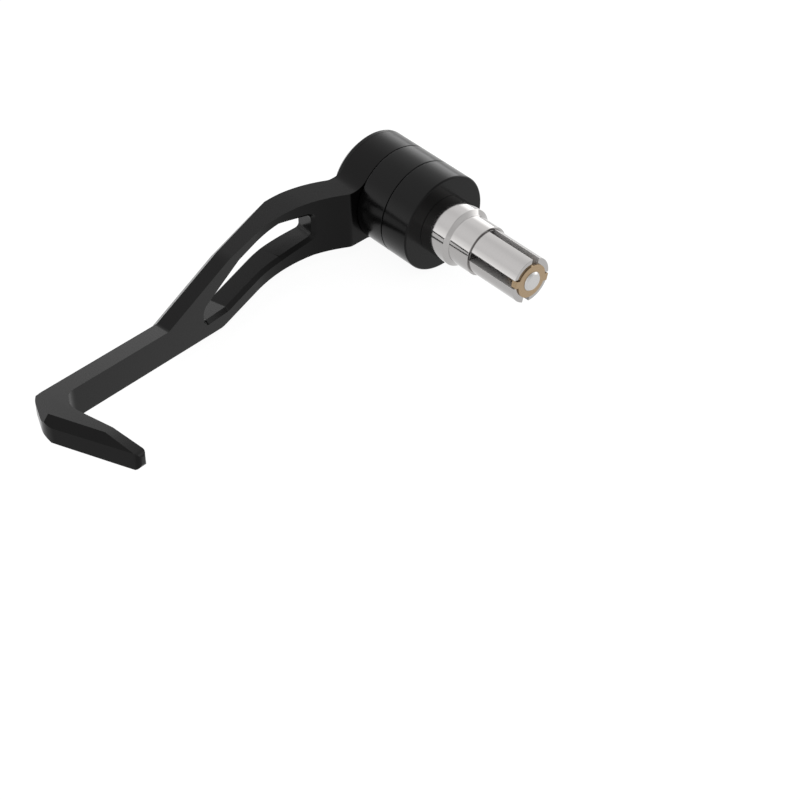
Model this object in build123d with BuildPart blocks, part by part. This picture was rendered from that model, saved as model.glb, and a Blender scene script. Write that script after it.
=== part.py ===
from build123d import *
from math import cos, radians, sin, tan
import os

os.makedirs("parts", exist_ok=True)

# Bar-end brake lever guard, in mm. X runs along the handlebar with inboard positive, the origin is on the
# bar's axis at its end face, -Y is forward along the blade and Z is up.

# barrel
barrel_d = 30.0
spacer_len = 10.2
hub_len = 9.3
cap_len = 3.3
edge_break = 0.35

# clamp bolt and washer
bolt_d = 6.0
bolt_clear = 0.4
bolt_point = 0.6
head_d = 10.0
head_len = 4.0
socket_af = 4.0
socket_deep = 2.4
washer_d = 11.0
washer_t = 1.0

# hub bores
hub_floor = 3.0
hub_running = 0.05
pocket_d = 12.0
cap_seat_d = 20.0
cap_seat_deep = 2.2

# end cap
cap_land = 1.3
cap_rim_d = 25.5
cap_dish_d = 23.2
cap_flat_d = 9.6
cap_dish = 1.8
cap_spigot_wall = 2.4
cap_spigot_gap = 0.2

# plug
sleeve_d = 18.0
sleeve_len = 17.5
sleeve_head = 9.0
sleeve_cone = 0.9
sleeve_tail_d = 15.2
collet_d = 14.0
shank_d = 13.4
collet_bare = 17.6
finger_slot = 2.5
finger_deg = 15.0
wedge_d = 10.4
wedge_len = 6.0
wedge_half_angle = 16.0
wedge_out = 0.5
key_d = 12.8
key_len = 1.8
key_gap = 0.15
bolt_out = 0.7

# blade seen from above: the hub's flanks flare outboard, then the bar sweeps back inboard to the hook
hub_flank = 2.4
fold_r = 3.0
flare_deg = 28.0
sweep_deg = 15.4
flank_len = 16.4
blade_w = 7.1
crank_in_r = 40.0
crank_out_r = 37.0
bar_len = 102.5
hook_inner_r = 7.0
hook_len = 28.2
hook_end_w = 3.4
hook_taper_deg = 11.9
nose_back = 10.2
nose_side = 9.9
nose_r = 6.0

# blade seen from the side, a little off square to the handlebar, with lengths counted from the crank
side_deg = 7.0
arm_top = 7.95
arm_bottom = -10.95
stub_len = 2.6
hub_top_r = 6.0
hub_bottom_r = 3.0
shoulder_s = -2.9
knee_s, knee_z = 27.9, 6.85
knee_r = 25.0
dip_s, dip_z = 55.8, 1.15
dip_r = 3.0
sag_s = -5.4
belly_s, belly_z = 32.5, -14.0
belly_r = 8.0
rise_deg = 13.4

# flats planed along the outer edges: across the top or bottom, then along the wall
bar_flat_in, bar_flat_down = 2.2, 2.5
bar_flat_fade = 1.6
bar_under_in, bar_under_up = 2.4, 2.4
nose_flat_in, nose_flat_down = 2.4, 2.5
nose_under_in, nose_under_up = 2.8, 3.2
hook_flat_in, hook_flat_down = 3.2, 2.6
hook_under_in, hook_under_up = 1.6, 1.9
tip_top_in, tip_top_down = 9.0, 2.5
tip_under_in, tip_under_up = 7.0, 2.4

# slot through the blade at the bar's inner wall: its corners past the crank, the rails left above and below it,
# then how much it opens from there to the outer wall
slot_back = -7.1
slot_peak = 5.3
slot_bend = 23.5
slot_belly = 29.8
slot_nose = 40.0
slot_back_top = 6.0
slot_peak_top = 3.3
slot_bend_top = 4.4
slot_nose_top = 7.4
slot_nose_bottom = 5.0
slot_belly_bottom = 4.6
slot_peak_bottom = 4.7
slot_back_bottom = 5.9
slot_back_draft, slot_back_drop = 3.2, 1.4
slot_nose_draft = 1.6
slot_roof_lift = 0.9
slot_end_r = 1.6
slot_rim_in = 1.1
slot_rim_out = 0.5

# places along the bar's axis
spacer_face = -spacer_len
hub_in = spacer_face - spacer_len
hub_out = hub_in - hub_len
cap_face = hub_out - cap_len
floor_x = hub_in - hub_floor
head_seat = floor_x - washer_t
head_top = head_seat - head_len
sleeve_end = sleeve_len
collet_end = sleeve_end + collet_bare
wedge_face = collet_end + wedge_out
wedge_back = wedge_face - wedge_len
bolt_end = wedge_face + bolt_out
wedge_slope = tan(radians(wedge_half_angle))

# blade lines seen from above
fold_y = -barrel_d / 2 - hub_flank
stub_y = fold_y - stub_len
sweep_y = fold_y - flank_len
sweep, flare = tan(radians(sweep_deg)), tan(radians(flare_deg))
bar_run = Vector(sin(radians(sweep_deg)), -cos(radians(sweep_deg)))
hook_run = Vector(cos(radians(sweep_deg)), sin(radians(sweep_deg)))
front_run = Vector(cos(radians(sweep_deg + hook_taper_deg)), sin(radians(sweep_deg + hook_taper_deg)))
crank_in = Vector(hub_in + flare * (sweep_y - fold_y), sweep_y)
wall_start = crank_in - hook_run * blade_w
crank_step = (hub_out + flare * (wall_start.Y - fold_y) - wall_start.X) / (bar_run.X - flare * bar_run.Y)
crank_out = wall_start + bar_run * crank_step
hook_root = crank_in + bar_run * bar_len
tip_in = hook_root + hook_run * hook_len
tip_out = tip_in + bar_run * hook_end_w
nose = tip_out - front_run * ((hook_len + blade_w) / cos(radians(hook_taper_deg)))
flat_a = nose - bar_run * nose_back
flat_b = nose + front_run * nose_side
flat_run = (flat_b - flat_a).normalized()

# blade lines seen from the side
side_run = Vector(sin(radians(side_deg)), -cos(radians(side_deg)))
side_out = Vector(cos(radians(side_deg)), sin(radians(side_deg)))
rise = tan(radians(rise_deg))
end_s = bar_len + barrel_d
top_line = [(-end_s, arm_top), (shoulder_s, arm_top), (knee_s, knee_z), (dip_s, dip_z),
            (end_s, dip_z + rise * (end_s - dip_s))]
bottom_line = [(-end_s, arm_bottom), (sag_s, arm_bottom), (belly_s, belly_z),
               (end_s, belly_z + rise * (end_s - belly_s))]


def height(line, s):
    """Height of the blade's upper or lower line, before its fillets, at a length from the crank."""
    for (s0, z0), (s1, z1) in zip(line, line[1:]):
        if s <= s1:
            break
    return z0 + (z1 - z0) * (s - s0) / (s1 - s0)


def slot_corner(line, ahead, rail):
    """Corner of the slot on the bar's inner wall, a rail's height off the upper or lower line."""
    return ahead, height(line, ahead * bar_run.dot(side_run)) + rail


def edge(line, points):
    """Puts plan points on the upper or lower face."""
    return [p + Vector(0, 0, height(line, (p - crank_in).dot(side_run))) for p in points]


def outer_wall(s):
    """Plan point on the bar's outer wall at a length from the crank."""
    return wall_start + bar_run * ((s - (wall_start - crank_in).dot(side_run)) / bar_run.dot(side_run))


def off_cut(corners, out, inward, along):
    """What a flat along a sharp edge takes off, inward over its face and along its wall (down is negative)."""
    reach = 3
    wires = []
    for point in corners:
        a = point - out * inward * (1 + reach) - Vector(0, 0, along) * reach
        b = point + out * inward * reach + Vector(0, 0, along) * (1 + reach)
        c = point + out * inward * reach - Vector(0, 0, along) * reach
        wires.append(Wire.make_polygon([a, b, c]))
    return Solid.make_loft(wires, True)


def crank_room(corner, hub_face):
    """Largest fillet that the flank between the hub and a crank corner has room for."""
    flank = (corner - Vector(hub_face, fold_y)).length - fold_r * tan(radians(flare_deg / 2))
    return 0.98 * flank / tan(radians((flare_deg + sweep_deg) / 2))


def section(points):
    """Half section of a turned piece, from (along the bar, radius) points."""
    return Face(Wire.make_polygon([Vector(x, r) for x, r in points]))


with BuildPart() as guard_blade:
    # round hub with the root of the arm, then the arm's side view, each cut to the plan
    with BuildSketch(Plane.YZ) as side:
        Circle(barrel_d / 2)
        with BuildLine():
            Polyline((0, arm_top), (stub_y, arm_top), (stub_y, arm_bottom), (0, arm_bottom), close=True)
        make_face()
        on = lambda z: side.vertices().sort_by_distance((-(((barrel_d / 2) ** 2 - z**2) ** 0.5), z, 0))[0]
        fillet(on(arm_top), hub_top_r)
        fillet(on(arm_bottom), hub_bottom_r)
    extrude(amount=2 * barrel_d, both=True)
    bar_side = Plane(origin=crank_in, x_dir=side_run, z_dir=-side_out)
    with BuildSketch(bar_side) as arm:
        with BuildLine():
            start = crank_in.Y - stub_y - blade_w
            Polyline((start, arm_top), *top_line[1:], *bottom_line[:0:-1], (start, arm_bottom), close=True)
        make_face()
        bend = lambda s, z: arm.vertices().sort_by_distance((s, z, 0))[0]
        fillet(bend(knee_s, knee_z), knee_r)
        fillet(bend(dip_s, dip_z), dip_r)
        fillet(bend(belly_s, belly_z), belly_r)
    extrude(amount=2 * barrel_d, both=True)
    with BuildSketch() as plan:
        with BuildLine():
            Polyline(
                (hub_in, barrel_d), (hub_in, fold_y), crank_in, hook_root, tip_in, tip_out, nose, crank_out,
                (hub_out, fold_y), (hub_out, barrel_d), close=True,
            )
        make_face()
        at = lambda point: plan.vertices().sort_by_distance(point)[0]
        fillet(at((hub_in, fold_y, 0)), fold_r)
        fillet(at(crank_in), min(crank_in_r, crank_room(crank_in, hub_in)))
        fillet(at(hook_root), hook_inner_r)
        fillet(at(crank_out), min(crank_out_r, crank_room(crank_out, hub_out)))
        fillet(at((hub_out, fold_y, 0)), fold_r)
        with BuildLine():
            Polyline(nose, flat_a, flat_b, close=True)
        make_face(mode=Mode.SUBTRACT)
        fillet([at(flat_a), at(flat_b)], nose_r)
    extrude(amount=2 * barrel_d, both=True, mode=Mode.INTERSECT)

    # flats along the outer edges of the bar, the nose, the hook and its tip
    bends = [outer_wall(s) for s in (shoulder_s, knee_s, dip_s, end_s)]
    bends[0] -= hook_run * bar_flat_fade
    add(off_cut(edge(top_line, bends), -hook_run, bar_flat_in, -bar_flat_down), mode=Mode.SUBTRACT)
    under = [outer_wall(s) for s in (sag_s, belly_s, end_s)]
    add(off_cut(edge(bottom_line, under), -hook_run, bar_under_in, bar_under_up), mode=Mode.SUBTRACT)
    for run, ends, flat, lower in (
        (flat_run, (flat_a, flat_b), (nose_flat_in, -nose_flat_down), (nose_under_in, nose_under_up)),
        (front_run, (flat_b, tip_out), (hook_flat_in, -hook_flat_down), (hook_under_in, hook_under_up)),
        (-bar_run, (tip_out, tip_in), (tip_top_in, -tip_top_down), (tip_under_in, tip_under_up)),
    ):
        along = [ends[0] - run * nose_back, ends[1] + run * nose_back]
        outward = Vector(run.Y, -run.X)
        add(off_cut(edge(top_line, along), outward, *flat), mode=Mode.SUBTRACT)
        add(off_cut(edge(bottom_line, along), outward, *lower), mode=Mode.SUBTRACT)

    # slot through the blade, drafted towards the outer wall, with chamfered rims
    square = Plane(origin=crank_in, x_dir=bar_run, z_dir=-hook_run)
    for depth in (-blade_w, 2 * blade_w):
        part_way = depth / blade_w
        back = slot_back - part_way * slot_back_draft
        drop = part_way * slot_back_drop
        front = slot_nose + part_way * slot_nose_draft
        lift = part_way * slot_roof_lift
        with BuildSketch(square.offset(depth)) as opening:
            with BuildLine():
                Polyline(
                    slot_corner(top_line, back, -slot_back_top - drop),
                    slot_corner(top_line, slot_peak, -slot_peak_top),
                    slot_corner(top_line, slot_bend, lift - slot_bend_top),
                    slot_corner(top_line, front, lift - slot_nose_top),
                    slot_corner(bottom_line, front, slot_nose_bottom),
                    slot_corner(bottom_line, slot_belly, slot_belly_bottom),
                    slot_corner(bottom_line, slot_peak, slot_peak_bottom),
                    slot_corner(bottom_line, back, slot_back_bottom - drop), close=True,
                )
            make_face()
            fillet(opening.vertices(), slot_end_r)
    loft(ruled=True, mode=Mode.SUBTRACT)
    inner_rim, outer_rim = [], []
    walls = guard_blade.faces(Select.LAST).filter_by(lambda f: abs(f.normal_at().dot(hook_run)) < 0.5)
    for wall_face in walls:
        # leaves out the edges that run through the blade
        rim = wall_face.edges().filter_by(lambda e: abs((e @ 1 - e @ 0).normalized().dot(hook_run)) < 0.7)
        rim = rim.sort_by(Axis.X)
        outer_rim += rim[: len(rim) // 2]
        inner_rim += rim[len(rim) // 2 :]
    chamfer(ShapeList(inner_rim).sort_by(Axis.Y), slot_rim_in)
    chamfer(ShapeList(outer_rim).sort_by(Axis.Y), slot_rim_out)

    # bores in the hub for the bolt, its head and the cap
    bore = bolt_d / 2 + hub_running
    revolve(section([
        (hub_out - 1, 0), (hub_out - 1, cap_seat_d / 2), (hub_out + cap_seat_deep, cap_seat_d / 2),
        (hub_out + cap_seat_deep, pocket_d / 2), (floor_x, pocket_d / 2), (floor_x, bore), (hub_in + 1, bore),
        (hub_in + 1, 0),
    ]), axis=Axis.X, mode=Mode.SUBTRACT)

guard_blade.part.label = "guard_blade"
export_step(guard_blade.part, "parts/guard_blade.step")

with BuildPart() as end_cap:
    spigot_r = cap_seat_d / 2
    spigot_end = hub_out + cap_seat_deep - cap_spigot_gap
    revolve(section([
        (cap_face + cap_dish, 0), (hub_out, 0), (hub_out, spigot_r - cap_spigot_wall),
        (spigot_end, spigot_r - cap_spigot_wall), (spigot_end, spigot_r), (hub_out, spigot_r),
        (hub_out, barrel_d / 2), (hub_out - cap_land, barrel_d / 2), (cap_face, cap_rim_d / 2),
        (cap_face, cap_dish_d / 2), (cap_face + cap_dish, cap_flat_d / 2),
    ]), axis=Axis.X)

end_cap.part.label = "end_cap"
export_step(end_cap.part, "parts/end_cap.step")

bolt_hole = bolt_d / 2 + bolt_clear / 2

with BuildPart() as middle_spacer:
    revolve(section([
        (hub_in, bolt_hole), (hub_in, barrel_d / 2 - edge_break), (hub_in + edge_break, barrel_d / 2),
        (spacer_face, barrel_d / 2), (spacer_face, bolt_hole),
    ]), axis=Axis.X)

middle_spacer.part.label = "middle_spacer"
export_step(middle_spacer.part, "parts/middle_spacer.step")

with BuildPart() as inner_spacer:
    revolve(section([
        (spacer_face, bolt_hole), (spacer_face, barrel_d / 2 - edge_break),
        (spacer_face + edge_break, barrel_d / 2), (-edge_break, barrel_d / 2), (0, barrel_d / 2 - edge_break),
        (0, bolt_hole),
    ]), axis=Axis.X)

inner_spacer.part.label = "inner_spacer"
export_step(inner_spacer.part, "parts/inner_spacer.step")

with BuildPart() as stepped_sleeve:
    revolve(section([
        (0, shank_d / 2), (0, sleeve_d / 2), (sleeve_head, sleeve_d / 2),
        (sleeve_head + sleeve_cone, sleeve_tail_d / 2), (sleeve_end, sleeve_tail_d / 2),
        (sleeve_end, shank_d / 2),
    ]), axis=Axis.X)

stepped_sleeve.part.label = "stepped_sleeve"
export_step(stepped_sleeve.part, "parts/stepped_sleeve.step")

wedge_r = wedge_d / 2
wedge_back_r = wedge_r - wedge_len * wedge_slope
mouth_r = wedge_r - wedge_out * wedge_slope

with BuildPart() as split_collet:
    revolve(section([
        (0, bolt_hole), (0, shank_d / 2), (sleeve_end, shank_d / 2), (sleeve_end, collet_d / 2),
        (collet_end, collet_d / 2), (collet_end, mouth_r),
        (wedge_back, wedge_back_r), (wedge_back, bolt_hole),
    ]), axis=Axis.X)
    # four slots part the fingers, from the sleeve's end to the mouth
    with BuildSketch(Plane.YZ.offset(sleeve_end)):
        Rectangle(finger_slot, 2 * collet_d, rotation=-finger_deg)
        Rectangle(2 * collet_d, finger_slot, rotation=-finger_deg)
    extrude(amount=collet_bare, mode=Mode.SUBTRACT)

split_collet.part.label = "split_collet"
export_step(split_collet.part, "parts/split_collet.step")

with BuildPart() as wedge_nut:
    revolve(section([
        (wedge_back, bolt_d / 2), (wedge_back, wedge_back_r), (wedge_face, wedge_r), (wedge_face, bolt_d / 2),
    ]), axis=Axis.X)
    # two keys in the collet's slots stop it turning
    key_foot = wedge_r - (key_len + finger_slot) * wedge_slope
    with BuildSketch(Plane.YZ.offset(wedge_face)):
        with PolarLocations((key_d / 2 + key_foot) / 2, 2, start_angle=-finger_deg):
            Rectangle(key_d / 2 - key_foot, finger_slot - 2 * key_gap)
    extrude(amount=-key_len)

wedge_nut.part.label = "wedge_nut"
export_step(wedge_nut.part, "parts/wedge_nut.step")

with BuildPart() as clamp_bolt:
    revolve(section([
        (head_top, 0), (head_top, head_d / 2), (head_seat, head_d / 2), (head_seat, bolt_d / 2),
        (bolt_end - bolt_point, bolt_d / 2), (bolt_end, bolt_d / 2 - bolt_point), (bolt_end, 0),
    ]), axis=Axis.X)
    with BuildSketch(Plane.YZ.offset(head_top)):
        RegularPolygon(socket_af / 2, 6, major_radius=False)
    extrude(amount=socket_deep, mode=Mode.SUBTRACT)

clamp_bolt.part.label = "clamp_bolt"
export_step(clamp_bolt.part, "parts/clamp_bolt.step")

with BuildPart() as bolt_washer:
    revolve(section([
        (head_seat, bolt_d / 2 + hub_running), (head_seat, washer_d / 2), (floor_x, washer_d / 2),
        (floor_x, bolt_d / 2 + hub_running),
    ]), axis=Axis.X)

bolt_washer.part.label = "bolt_washer"
export_step(bolt_washer.part, "parts/bolt_washer.step")
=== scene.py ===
"""Bar-end brake lever guard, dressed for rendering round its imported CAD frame."""
import math

import bmesh
import bpy
from mathutils import Matrix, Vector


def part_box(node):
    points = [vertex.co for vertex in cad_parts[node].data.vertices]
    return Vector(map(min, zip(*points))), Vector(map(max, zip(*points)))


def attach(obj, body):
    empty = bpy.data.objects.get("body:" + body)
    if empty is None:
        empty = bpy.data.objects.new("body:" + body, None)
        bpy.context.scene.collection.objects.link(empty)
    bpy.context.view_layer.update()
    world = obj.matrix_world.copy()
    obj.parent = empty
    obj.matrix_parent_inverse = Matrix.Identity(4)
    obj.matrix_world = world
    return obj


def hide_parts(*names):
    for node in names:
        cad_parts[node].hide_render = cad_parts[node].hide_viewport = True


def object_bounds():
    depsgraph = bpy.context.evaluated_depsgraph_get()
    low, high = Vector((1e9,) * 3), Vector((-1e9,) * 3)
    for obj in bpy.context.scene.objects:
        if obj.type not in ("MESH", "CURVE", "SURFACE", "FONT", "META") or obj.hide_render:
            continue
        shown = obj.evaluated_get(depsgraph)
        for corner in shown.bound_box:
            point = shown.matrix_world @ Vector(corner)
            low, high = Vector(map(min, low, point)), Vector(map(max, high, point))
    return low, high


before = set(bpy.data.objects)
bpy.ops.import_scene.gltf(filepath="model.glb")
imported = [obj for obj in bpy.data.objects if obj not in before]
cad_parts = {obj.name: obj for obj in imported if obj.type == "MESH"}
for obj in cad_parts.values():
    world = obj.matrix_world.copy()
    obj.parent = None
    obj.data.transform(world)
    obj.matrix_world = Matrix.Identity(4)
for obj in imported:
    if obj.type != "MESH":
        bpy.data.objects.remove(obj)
cad_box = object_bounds()

# Guard blade
# The cranked bar with its slot and hooked nose, milled together with its round hub from one aluminium billet.
# Its edges are broken before the blade is anodised black. It turns about the clamp stack until the bolt is tight.
MM = 0.001
BLADE_EDGE = 0.25 * MM
CAD_MERGE = 0.002 * MM
CAD_FLAT = math.radians(0.3)
TIP_FROM_X = 25.1 * MM
TIP_MERGE = 0.2 * MM
TIP_ROUND = 1.3 * MM
TIP_SEGMENTS = 6


def edged(piece, width, angle=24, segments=3):
    """Rounds the edges that are sharper than an angle in degrees, and shades the wide faces beside them flat."""
    bevel = piece.modifiers.new("broken edge", "BEVEL")
    bevel.width, bevel.segments = width, segments
    bevel.limit_method, bevel.angle_limit = "ANGLE", math.radians(angle)
    piece.data.shade_smooth()
    piece.modifiers.new("flat faces", "WEIGHTED_NORMAL").weight = 100
    return piece


def piece_from(name, work):
    """A new object in the scene from a bmesh, which is freed."""
    mesh = bpy.data.meshes.new(name)
    work.to_mesh(mesh)
    work.free()
    piece = bpy.data.objects.new(name, mesh)
    bpy.context.scene.collection.objects.link(piece)
    return piece


def merged_copy(node, name):
    """A copy of a CAD node with its loose triangles joined into true faces."""
    work = bmesh.new()
    work.from_mesh(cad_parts[node].data)
    bmesh.ops.remove_doubles(work, verts=work.verts, dist=CAD_MERGE)
    bmesh.ops.dissolve_limit(work, angle_limit=CAD_FLAT, verts=work.verts, edges=work.edges)
    return piece_from(name, work)


def linear(colour):
    """sRGB hex colour as linear RGBA."""
    parts = [int(colour[i : i + 2], 16) / 255 for i in (1, 3, 5)]
    return [c / 12.92 if c <= 0.04045 else ((c + 0.055) / 1.055) ** 2.4 for c in parts] + [1.0]


def put(tree, kind, sockets=None, **settings):
    """Adds a node: settings are its own, sockets map an input to a value or to another node's output."""
    node = tree.nodes.new(kind)
    for name, value in settings.items():
        setattr(node, name, value)
    for name, value in (sockets or {}).items():
        if isinstance(value, bpy.types.NodeSocket):
            tree.links.new(value, node.inputs[name])
        else:
            node.inputs[name].default_value = value
    return node


def blank(name):
    """A new material with an empty node tree."""
    material = bpy.data.materials.new(name)
    material.use_nodes = True
    material.node_tree.nodes.clear()
    return material, material.node_tree


def finish(piece, material, node, body):
    """Gives a piece its material and puts it on its body in place of its CAD node."""
    piece.data.materials.clear()
    piece.data.materials.append(material)
    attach(piece, body)
    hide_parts(node)


# Black anodised aluminium, milled and tumbled: a dyed oxide skin that is nearly black to look into and mirrors its
# surroundings softly. The tumbled grain is about 0.1 mm and is drawn at 0.4 mm so that it can show.
milled_black, tree = blank("black anodised aluminium")
place = put(tree, "ShaderNodeTexCoord").outputs["Object"]
grain = put(tree, "ShaderNodeTexNoise", {"Vector": place, "Scale": 1 / (0.4 * MM), "Detail": 3.0}).outputs["Fac"]
cloud = put(tree, "ShaderNodeTexNoise", {"Vector": place, "Scale": 1 / (14 * MM), "Detail": 2.0}).outputs["Fac"]
dye = put(tree, "ShaderNodeMix", {"Factor": cloud, "A": linear("#040404"), "B": linear("#080707")},
          data_type="RGBA").outputs["Result"]
gloss = put(tree, "ShaderNodeMapRange", {"Value": grain, "To Min": 0.17, "To Max": 0.26}).outputs["Result"]
relief = put(tree, "ShaderNodeBump", {"Height": grain, "Strength": 0.04, "Distance": 0.1 * MM}).outputs["Normal"]
skin = put(tree, "ShaderNodeBsdfPrincipled", {"Base Color": dye, "Roughness": gloss, "Normal": relief, "IOR": 1.22})
put(tree, "ShaderNodeOutputMaterial", {"Surface": skin.outputs["BSDF"]})

blade = merged_copy("guard_blade", "milled_blade")
# The hook's end is blended rounder than the other edges, after its shortest edge is closed up
work = bmesh.new()
work.from_mesh(blade.data)
bmesh.ops.remove_doubles(work, verts=[v for v in work.verts if v.co.x > TIP_FROM_X], dist=TIP_MERGE)
tip_edges = [e for e in work.edges if all(v.co.x > TIP_FROM_X for v in e.verts)]
bmesh.ops.bevel(work, geom=tip_edges, offset=TIP_ROUND, offset_type="OFFSET", segments=TIP_SEGMENTS, profile=0.5,
                affect="EDGES", clamp_overlap=False)
work.to_mesh(blade.data)
work.free()
edged(blade, BLADE_EDGE)
finish(blade, milled_black, "guard_blade", "blade")

# Bolt washer
# A plain pressed steel washer, zinc plated, loose on the bolt at the bottom of the hub's pocket.
# It spreads the pull of the bolt's head over the soft aluminium.
WASHER_BORE_R = 3.05
WASHER_R = 5.5
WASHER_EDGE = 0.15 * MM
LATHE_SIDES = 180


def span(node):
    """Where a CAD node begins and ends along the bar's axis, in mm."""
    low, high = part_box(node)
    return low.x / MM, high.x / MM


def turned(name, profile, sides=LATHE_SIDES):
    """A piece turned on the lathe about the bar's axis, from its outline as (x, radius) points in mm."""
    work = bmesh.new()
    rows = []
    for i, (x, r) in enumerate(profile):
        if (x, r) == profile[i - 1]:
            continue
        turns = [math.tau * j / sides for j in range(sides)] if r else [0.0]
        row = [work.verts.new((x * MM, -r * MM * math.sin(t), r * MM * math.cos(t))) for t in turns]
        rows.append(row if r else row * sides)
    for near, far in zip(rows, rows[1:] + rows[:1]):
        for i in range(sides):
            corners = list(dict.fromkeys((near[i - 1], near[i], far[i], far[i - 1])))
            if len(corners) > 2:
                work.faces.new(corners)
    bmesh.ops.recalc_face_normals(work, faces=work.faces)
    return piece_from(name, work)


def lathe_marks(tree, spacing):
    """Fine grooves round the bar's axis, along a turned side and across a faced end: a height from 0 to 1."""
    place = put(tree, "ShaderNodeTexCoord").outputs["Object"]
    apart = put(tree, "ShaderNodeSeparateXYZ", {"Vector": place}).outputs
    flat = put(tree, "ShaderNodeCombineXYZ", {"Y": apart["Y"], "Z": apart["Z"]}).outputs["Vector"]
    radius = put(tree, "ShaderNodeVectorMath", {"Vector": flat}, operation="LENGTH").outputs["Value"]
    along = put(tree, "ShaderNodeMath", {0: apart["X"], 1: radius}, operation="ADD").outputs["Value"]
    marks = put(tree, "ShaderNodeTexNoise", {"W": along, "Scale": 1 / spacing, "Detail": 2.0}, noise_dimensions="1D")
    return marks.outputs["Fac"]


def lathe_finish(name, feed, tones, gloss, strength, depth, shader):
    """A turned surface: its tone, its gloss and its fine relief all follow the tool's marks."""
    material, tree = blank(name)
    marks = lathe_marks(tree, feed)
    tone = put(tree, "ShaderNodeMix", {"Factor": marks, "A": linear(tones[0]), "B": linear(tones[1])},
               data_type="RGBA").outputs["Result"]
    rough = put(tree, "ShaderNodeMapRange", {"Value": marks, "To Min": gloss[0], "To Max": gloss[1]}).outputs["Result"]
    relief = put(tree, "ShaderNodeBump", {"Height": marks, "Strength": strength, "Distance": depth}).outputs["Normal"]
    skin = put(tree, "ShaderNodeBsdfPrincipled",
               {"Base Color": tone, "Roughness": rough, "Normal": relief, **shader})
    put(tree, "ShaderNodeOutputMaterial", {"Surface": skin.outputs["BSDF"]})
    return material


# Zinc plated steel: a thin pale plating over turned steel, so it is bright, a plain grey, and faintly grooved.
# The tool's feed is about 0.1 mm and is drawn at 0.25 mm so that it can show.
zinc = lathe_finish("zinc plated steel", 0.25 * MM, tones=("#bab9b8", "#cbcac9"),
                    gloss=(0.24, 0.36), strength=0.15, depth=0.05 * MM, shader={"Metallic": 1.0})

washer_out, washer_in = span("bolt_washer")
washer = edged(turned("bolt_washer_plated", [
    (washer_out, WASHER_BORE_R), (washer_out, WASHER_R), (washer_in, WASHER_R), (washer_in, WASHER_BORE_R),
]), WASHER_EDGE)
finish(washer, zinc, "bolt_washer", "clamp")

# Clamp bolt
# A zinc plated steel socket screw through the whole barrel, its head in the hub's pocket under the cap.
# Its thread is rolled, and its end shows in the middle of the wedge nut.
HEAD_R = 5.0
HEAD_LEN = 4.0
SOCKET_FLATS = 4.0
SOCKET_DEEP = 2.4
SHANK_R = 3.0
THREAD_ROOT_R = 2.5
THREAD_PITCH = 1.0
THREAD_LEN = 24.0
POINT_LEN = 0.6
THREAD_RUNOUT = 1.4
BOLT_EDGE = 0.12 * MM
BOLT_SIDES = 96
SOCKET_NEAR = 0.01 * MM
HELIX_STEPS = 48

bolt_out, bolt_in = span("clamp_bolt")
thread_start, thread_end = bolt_in - THREAD_LEN, bolt_in - POINT_LEN - THREAD_RUNOUT
socket_r = SOCKET_FLATS / 2
bolt = turned("clamp_bolt_plated", [
    (bolt_out + SOCKET_DEEP, 0), (bolt_out + SOCKET_DEEP, socket_r), (bolt_out, socket_r), (bolt_out, HEAD_R),
    (bolt_out + HEAD_LEN, HEAD_R), (bolt_out + HEAD_LEN, SHANK_R), (thread_start, SHANK_R),
    (thread_start + THREAD_PITCH, THREAD_ROOT_R), (thread_end, THREAD_ROOT_R), (thread_end, SHANK_R),
    (bolt_in - POINT_LEN, SHANK_R), (bolt_in, SHANK_R - POINT_LEN), (bolt_in, 0),
], BOLT_SIDES)
# The round socket is pushed out to a hexagon across the same flats
for vertex in bolt.data.vertices:
    x, y, z = vertex.co
    if abs(math.hypot(y, z) - socket_r * MM) < SOCKET_NEAR:
        turn = (math.atan2(z, y) + math.pi / 6) % (math.pi / 3) - math.pi / 6
        vertex.co = (x, y / math.cos(turn), z / math.cos(turn))


def open_tree(name, inputs):
    """A Geometry Nodes tree with inputs given as a name and a kind each, and the sockets that bring them in."""
    tree = bpy.data.node_groups.new(name, "GeometryNodeTree")
    for label, kind in inputs.items():
        tree.interface.new_socket(label, in_out="INPUT", socket_type="NodeSocket" + kind)
    tree.interface.new_socket("Geometry", in_out="OUTPUT", socket_type="NodeSocketGeometry")
    return tree, put(tree, "NodeGroupInput").outputs


def close_tree(tree, shape, material):
    """Ends a tree with its shape made real and coated."""
    real = put(tree, "GeometryNodeRealizeInstances", {"Geometry": shape}).outputs["Geometry"]
    coated = put(tree, "GeometryNodeSetMaterial", {"Geometry": real, "Material": material}).outputs["Geometry"]
    put(tree, "NodeGroupOutput", {"Geometry": coated})


# The thread's ridge, one helix from the thread's start to the plain end
thread_tree, given = open_tree("rolled thread", {
    "Turns": "Float", "Length": "Float", "Radius": "Float", "Depth": "Float", "Start": "Float", "Finish": "Material",
})
mid = put(thread_tree, "ShaderNodeMath", {0: given["Radius"], 1: given["Depth"]}, operation="SUBTRACT").outputs[0]
helix = put(thread_tree, "GeometryNodeCurveSpiral", {
    "Resolution": HELIX_STEPS, "Rotations": given["Turns"], "Start Radius": mid, "End Radius": mid,
    "Height": given["Length"],
}).outputs["Curve"]
ridge = put(thread_tree, "GeometryNodeCurvePrimitiveCircle", {"Resolution": 3, "Radius": given["Depth"]},
            mode="RADIUS").outputs["Curve"]
tube = put(thread_tree, "GeometryNodeCurveToMesh", {
    "Curve": helix, "Profile Curve": ridge, "Fill Caps": True,
}).outputs["Mesh"]
shift = put(thread_tree, "ShaderNodeCombineXYZ", {"X": given["Start"]}).outputs["Vector"]
laid = put(thread_tree, "GeometryNodeTransform", {
    "Geometry": tube, "Translation": shift, "Rotation": (0, math.pi / 2, 0),
}).outputs["Geometry"]
close_tree(thread_tree, laid, given["Finish"])


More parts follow.
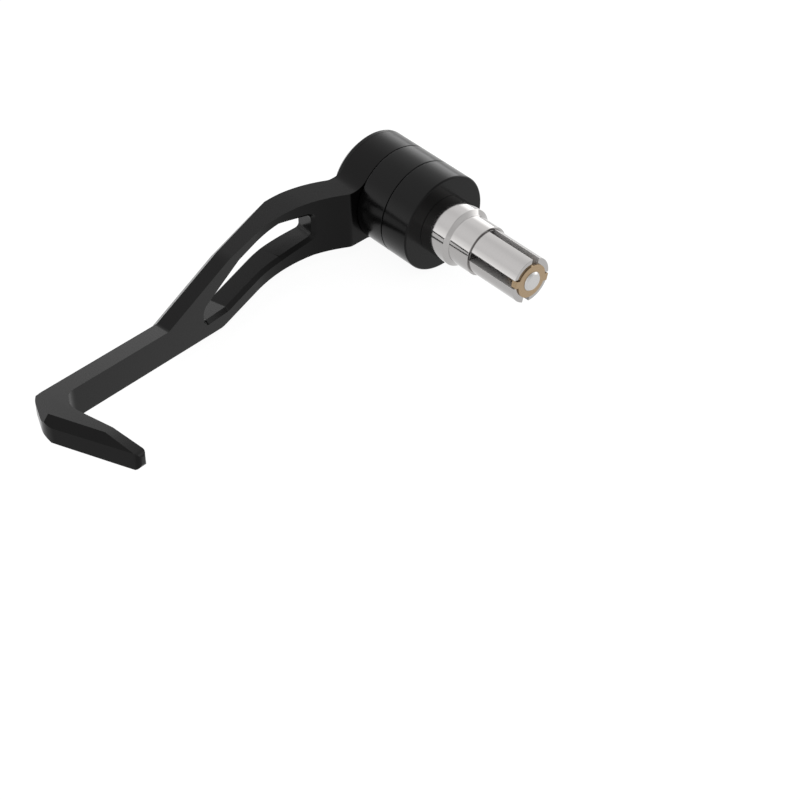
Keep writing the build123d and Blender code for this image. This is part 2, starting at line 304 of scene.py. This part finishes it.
def grow(piece, tree, **sizes):
    """Runs a Geometry Nodes tree on a piece with its inputs set by name, and leaves a plain mesh."""
    modifier = piece.modifiers.new(tree.name, "NODES")
    modifier.node_group = tree
    for item in tree.interface.items_tree:
        if item.in_out == "INPUT" and item.name in sizes:
            modifier[item.identifier] = sizes[item.name]
    bpy.context.view_layer.update()
    shape = bpy.data.meshes.new_from_object(piece.evaluated_get(bpy.context.evaluated_depsgraph_get()))
    piece.modifiers.clear()
    piece.data = shape
    return piece


# Dull steel for the thread, painted nearly black: the dark tone is painted shade, standing in for the collet's shadow
# over it.
# Its tone varies at random, in patches of about 1.5 mm.
painted_shade_thread, tree = blank("steel thread painted dark for shade")
place = put(tree, "ShaderNodeTexCoord").outputs["Object"]
patch = put(tree, "ShaderNodeTexNoise", {"Vector": place, "Scale": 1 / (1.5 * MM), "Detail": 2.0}).outputs["Fac"]
tone = put(tree, "ShaderNodeMix", {"Factor": patch, "A": linear("#121211"), "B": linear("#1f1e1c")},
           data_type="RGBA").outputs["Result"]
gloss = put(tree, "ShaderNodeMapRange", {"Value": patch, "To Min": 0.45, "To Max": 0.6}).outputs["Result"]
skin = put(tree, "ShaderNodeBsdfPrincipled", {"Base Color": tone, "Metallic": 0.6, "Roughness": gloss})
put(tree, "ShaderNodeOutputMaterial", {"Surface": skin.outputs["BSDF"]})

# The thread's ridge takes the dark steel, whose near-black tone is painted shade from the collet
thread = piece_from("bolt_thread", bmesh.new())
grow(thread, thread_tree, Turns=(thread_end - thread_start) / THREAD_PITCH, Length=(thread_end - thread_start) * MM,
     Radius=SHANK_R * MM, Depth=(SHANK_R - THREAD_ROOT_R) * MM, Start=thread_start * MM, Finish=painted_shade_thread)
finish(thread, painted_shade_thread, "clamp_bolt", "clamp")
edged(bolt, BOLT_EDGE)
finish(bolt, zinc, "clamp_bolt", "clamp")

# Middle and inner spacers
# Two black rings of one diameter, turned from aluminium bar, faced and anodised, stacked between the hub and the
# bar's end. The bolt runs through both, and the inner one's face seats on the bar.
BARREL_R = 15.0
RING_BORE_R = 3.2
RING_CHAMFER = 0.35
RING_EDGE = 0.12 * MM

# Black anodised aluminium, turned: the same dyed skin over lathe work, so faint rings catch the light.
# The tool's feed is about 0.08 mm and is drawn at 0.3 mm so that it can show.
turned_black = lathe_finish("black anodised turned aluminium", 0.3 * MM, tones=("#040404", "#070707"),
                            gloss=(0.16, 0.24), strength=0.06, depth=0.05 * MM, shader={"IOR": 1.25})

for node, inboard in (("middle_spacer", 0.0), ("inner_spacer", RING_CHAMFER)):
    ring_out, ring_in = span(node)
    ring = edged(turned(node + "_black", [
        (ring_out, RING_BORE_R), (ring_out, BARREL_R - RING_CHAMFER), (ring_out + RING_CHAMFER, BARREL_R),
        (ring_in - inboard, BARREL_R), (ring_in, BARREL_R - inboard), (ring_in, RING_BORE_R),
    ]), RING_EDGE)
    finish(ring, turned_black, node, "clamp")

# Stepped sleeve
# A bright aluminium adaptor ring that centres the plug in the bar's bore, turned with two diameters and a short
# cone between them. It slips over the collet's shank against the inner spacer.
SLEEVE_R = 9.0
SLEEVE_TAIL_R = 7.6
SLEEVE_BORE_R = 6.7
SLEEVE_HEAD_LEN = 9.0
SLEEVE_CONE_LEN = 0.9
SLEEVE_EDGE = 0.12 * MM

# Bright turned aluminium: bare metal off a fine finishing cut and polished, a clean grey mirror with faint rings.
# The tool's feed is about 0.05 mm and is drawn at 0.25 mm so that it can show.
bright = lathe_finish("bright turned aluminium", 0.25 * MM, tones=("#a7a5a4", "#acaaa9"),
                      gloss=(0.07, 0.12), strength=0.01, depth=0.02 * MM, shader={"Metallic": 1.0})

sleeve_out, sleeve_in = span("stepped_sleeve")
cone_start = sleeve_out + SLEEVE_HEAD_LEN
sleeve = edged(turned("stepped_sleeve_bright", [
    (sleeve_out, SLEEVE_BORE_R), (sleeve_out, SLEEVE_R), (cone_start, SLEEVE_R),
    (cone_start + SLEEVE_CONE_LEN, SLEEVE_TAIL_R), (sleeve_in, SLEEVE_TAIL_R), (sleeve_in, SLEEVE_BORE_R),
]), SLEEVE_EDGE)
finish(sleeve, bright, "stepped_sleeve", "clamp")

# Split collet
# A bright aluminium tube with a shank inside the sleeve and four fingers beyond it, parted by sawn slots.
# The wedge drawn into its cone spreads the fingers against the bar's bore.
COLLET_R = 7.0
COLLET_SHANK_R = 6.7
COLLET_BORE_R = 3.2
FINGER_COUNT = 4
FINGER_SLOT = 2.5
FINGER_TURN = math.radians(-15)
FINGER_ARC_STEPS = 16
FINGER_EDGE = 0.14 * MM
WEDGE_R = 5.2
WEDGE_SLOPE = math.tan(math.radians(16))

collet_out, collet_in = span("split_collet")
wedge_back, wedge_face = span("wedge_nut")
mouth_r = WEDGE_R - (wedge_face - collet_in) * WEDGE_SLOPE  # the mouth follows the wedge's cone


def finger_ring(work, x, inner_r):
    """Corners of one finger's cross-section, its flat sides set back half a slot from the slots' middles."""
    corners = []
    for radius, way in ((COLLET_R, 1), (inner_r, -1)):
        edge = math.asin(FINGER_SLOT / 2 / radius)
        for i in range(FINGER_ARC_STEPS + 1)[::way]:
            angle = FINGER_TURN + edge + (math.pi / 2 - 2 * edge) * i / FINGER_ARC_STEPS
            corners.append(work.verts.new((x * MM, radius * math.cos(angle) * MM, radius * math.sin(angle) * MM)))
    return corners


work = bmesh.new()
rings = [finger_ring(work, x, r) for x, r in (
    (sleeve_in, COLLET_BORE_R), (wedge_back, COLLET_BORE_R), (collet_in, mouth_r),
)]
for near, far in zip(rings, rings[1:]):
    for i in range(len(near)):
        work.faces.new((near[i - 1], near[i], far[i], far[i - 1]))
work.faces.new(rings[0])
work.faces.new(rings[-1])
bmesh.ops.recalc_face_normals(work, faces=work.faces)
collet = piece_from("split_collet_bright", work)

# Equal fingers round the bar's axis
finger_tree, given = open_tree("fingers round the bore", {
    "Geometry": "Geometry", "Count": "Int", "Finish": "Material",
})
spots = put(finger_tree, "GeometryNodePoints", {"Count": given["Count"]}).outputs[0]
index = put(finger_tree, "GeometryNodeInputIndex").outputs["Index"]
step = put(finger_tree, "ShaderNodeMath", {0: math.tau, 1: given["Count"]}, operation="DIVIDE").outputs[0]
angle = put(finger_tree, "ShaderNodeMath", {0: index, 1: step}, operation="MULTIPLY").outputs[0]
turn = put(finger_tree, "ShaderNodeCombineXYZ", {"X": angle}).outputs["Vector"]
fingers = put(finger_tree, "GeometryNodeInstanceOnPoints", {
    "Points": spots, "Instance": given["Geometry"], "Rotation": turn,
}).outputs["Instances"]
close_tree(finger_tree, fingers, given["Finish"])
edged(grow(collet, finger_tree, Count=FINGER_COUNT, Finish=bright), FINGER_EDGE, angle=40, segments=2)
finish(collet, bright, "split_collet", "clamp")

# Sawn aluminium: the slots' walls as the saw leaves them, dull grey with fine scratches.
# The scratches are about 0.05 mm apart and are drawn at 0.2 mm so that they can show.
sawn, tree = blank("sawn aluminium")
place = put(tree, "ShaderNodeTexCoord").outputs["Object"]
score = put(tree, "ShaderNodeTexNoise", {"Vector": place, "Scale": 1 / (0.2 * MM), "Detail": 2.0}).outputs["Fac"]
tone = put(tree, "ShaderNodeMix", {"Factor": score, "A": linear("#a3a1a0"), "B": linear("#b4b2b1")},
           data_type="RGBA").outputs["Result"]
gloss = put(tree, "ShaderNodeMapRange", {"Value": score, "To Min": 0.5, "To Max": 0.65}).outputs["Result"]
skin = put(tree, "ShaderNodeBsdfPrincipled", {"Base Color": tone, "Metallic": 0.5, "Roughness": gloss})
put(tree, "ShaderNodeOutputMaterial", {"Surface": skin.outputs["BSDF"]})
collet.data.materials.append(sawn)
# A slot's wall faces neither along the bar nor out from it
for face in collet.data.polygons:
    outward = face.normal.yz.dot(face.center.yz.normalized())
    if abs(face.normal.x) < 0.5 and abs(outward) < 0.5:
        face.material_index = 1

shank = edged(turned("collet_shank_bright", [
    (collet_out, COLLET_BORE_R), (collet_out, COLLET_SHANK_R),
    (sleeve_in, COLLET_SHANK_R), (sleeve_in, COLLET_BORE_R),
]), FINGER_EDGE)
finish(shank, bright, "split_collet", "clamp")

# Wedge nut
# A turned brass cone, tapped for the bolt, with two keys in the collet's slots that stop it turning.
# The bolt draws it into the collet's mouth, and only its face and keys show.
WEDGE_EDGE = 0.1 * MM

# Turned brass, a pale leaded grade: warm straw metal, satin from the lathe, with faint rings.
# The tool's feed is about 0.1 mm and is drawn at 0.25 mm so that it can show.
brass = lathe_finish("turned brass", 0.25 * MM, tones=("#9c8669", "#a99377"),
                     gloss=(0.24, 0.36), strength=0.15, depth=0.05 * MM, shader={"Metallic": 1.0})

wedge = edged(merged_copy("wedge_nut", "wedge_nut_brass"), WEDGE_EDGE, angle=30, segments=2)
finish(wedge, brass, "wedge_nut", "clamp")

# End cap
# A black anodised aluminium cap, turned with a wide chamfer and a shallow dish with a flat middle.
# Its ring-shaped spigot presses into the hub over the bolt's head.
CAP_LAND = 1.3
CAP_LEN = 3.3
CAP_RIM_R = 12.75
CAP_DISH_R = 11.6
CAP_FLAT_R = 4.8
CAP_DISH = 1.8
SPIGOT_R = 10.0
SPIGOT_WALL = 2.4
CAP_EDGE = 0.16 * MM

cap_face, spigot_end = span("end_cap")
cap_seat = cap_face + CAP_LEN
cap = edged(turned("end_cap_black", [
    (cap_face + CAP_DISH, 0), (cap_face + CAP_DISH, CAP_FLAT_R), (cap_face, CAP_DISH_R), (cap_face, CAP_RIM_R),
    (cap_seat - CAP_LAND, BARREL_R), (cap_seat, BARREL_R), (cap_seat, SPIGOT_R), (spigot_end, SPIGOT_R),
    (spigot_end, SPIGOT_R - SPIGOT_WALL), (cap_seat, SPIGOT_R - SPIGOT_WALL), (cap_seat, 0),
]), CAP_EDGE, angle=12)
finish(cap, turned_black, "end_cap", "blade")

# Floor, light and camera
# White paper under a soft white tent, brightest low down behind the object and open on the plug's side, where the
# camera looks in from above through a long lens.
FLOOR_REACH = 3.0
FLOOR_GAP = 0.2 * MM
FLOOR_GLOW = 0.93
TENT_STOPS = (0, 15, 30, 45, 60, 90)
BACK_LIGHT = (3.0, 2.7, 1.45, 1.35, 1.1, 0.6)
FRONT_LIGHT = (2.0, 1.6, 1.25, 1.3, 1.25, 0.6)
OPEN_LIGHT = (0.95, 0.9, 1.0, 0.4, 0.1, 0.08)
AHEAD_BLEND = (0.25, -0.25)
OPEN_BLEND = (0.2, 0.85)
LENS = 95.49
SENSOR = 36.0
CAMERA_AT = (0.34769, -0.33643, 0.37039)
CAMERA_TILT = math.radians(47.80)
CAMERA_TURN = math.radians(47.42)

work = bmesh.new()
bmesh.ops.create_grid(work, x_segments=1, y_segments=1, size=FLOOR_REACH,
                      matrix=Matrix.Translation((0, 0, cad_box[0][2] - FLOOR_GAP)))
floor = piece_from("floor", work)
# White paper: matt, with a steady glow to the camera and to mirrors that leaves the shadow faint. It is grey under
# that glow, so that it throws little light up at the object.
paper, tree = blank("white paper")
path = put(tree, "ShaderNodeLightPath").outputs
seen = put(tree, "ShaderNodeMath", {0: path["Is Camera Ray"], 1: path["Is Glossy Ray"]},
           operation="MAXIMUM").outputs[0]
seen = put(tree, "ShaderNodeMath", {0: seen, 1: path["Is Transmission Ray"]}, operation="MAXIMUM").outputs[0]
glow = put(tree, "ShaderNodeMath", {0: seen, 1: FLOOR_GLOW}, operation="MULTIPLY").outputs[0]
sheet = put(tree, "ShaderNodeBsdfPrincipled", {
    "Base Color": linear("#5c5c5c"), "Roughness": 1.0, "Specular IOR Level": 0.0,
    "Emission Color": (1, 1, 1, 1), "Emission Strength": glow,
})
put(tree, "ShaderNodeOutputMaterial", {"Surface": sheet.outputs["BSDF"]})
floor.data.materials.append(paper)

world = bpy.data.worlds.new("white tent")
bpy.context.scene.world = world
world.use_nodes = True
tree = world.node_tree
tree.nodes.clear()
way = put(tree, "ShaderNodeTexCoord").outputs["Generated"]
parts = put(tree, "ShaderNodeSeparateXYZ", {"Vector": way}).outputs
lift = put(tree, "ShaderNodeMath", {0: parts["Z"]}, operation="ARCSINE").outputs[0]
share = put(tree, "ShaderNodeMath", {0: lift, 1: 2 / math.pi}, operation="MULTIPLY").outputs[0]
cloths = []
for lights in (BACK_LIGHT, FRONT_LIGHT, OPEN_LIGHT):
    ramp = put(tree, "ShaderNodeValToRGB", {"Fac": share})
    while len(ramp.color_ramp.elements) < len(TENT_STOPS):
        ramp.color_ramp.elements.new(0.5)
    for stop, degrees, light in zip(ramp.color_ramp.elements, TENT_STOPS, lights):
        stop.position = degrees / 90
        stop.color = (light, light, light, 1)
    cloths.append(ramp.outputs["Color"])
ahead = put(tree, "ShaderNodeMapRange", {
    "Value": parts["Y"], "From Min": AHEAD_BLEND[0], "From Max": AHEAD_BLEND[1],
}, interpolation_type="SMOOTHSTEP").outputs["Result"]
side = put(tree, "ShaderNodeMapRange", {
    "Value": parts["X"], "From Min": OPEN_BLEND[0], "From Max": OPEN_BLEND[1],
}, interpolation_type="SMOOTHSTEP").outputs["Result"]
walls = put(tree, "ShaderNodeMix", {"Factor": ahead, "A": cloths[0], "B": cloths[1]}, data_type="RGBA")
cloth = put(tree, "ShaderNodeMix", {"Factor": side, "A": walls.outputs["Result"], "B": cloths[2]}, data_type="RGBA")
sky = put(tree, "ShaderNodeBackground", {"Color": cloth.outputs["Result"]})
put(tree, "ShaderNodeOutputWorld", {"Surface": sky.outputs["Background"]})

camera_data = bpy.data.cameras.new("camera")
camera_data.lens, camera_data.sensor_width = LENS, SENSOR
camera = bpy.data.objects.new("camera", camera_data)
camera.location = CAMERA_AT
camera.rotation_euler = (CAMERA_TILT, 0, CAMERA_TURN)
bpy.context.scene.collection.objects.link(camera)
bpy.context.scene.camera = camera
bpy.context.scene.view_settings.view_transform = "Standard"
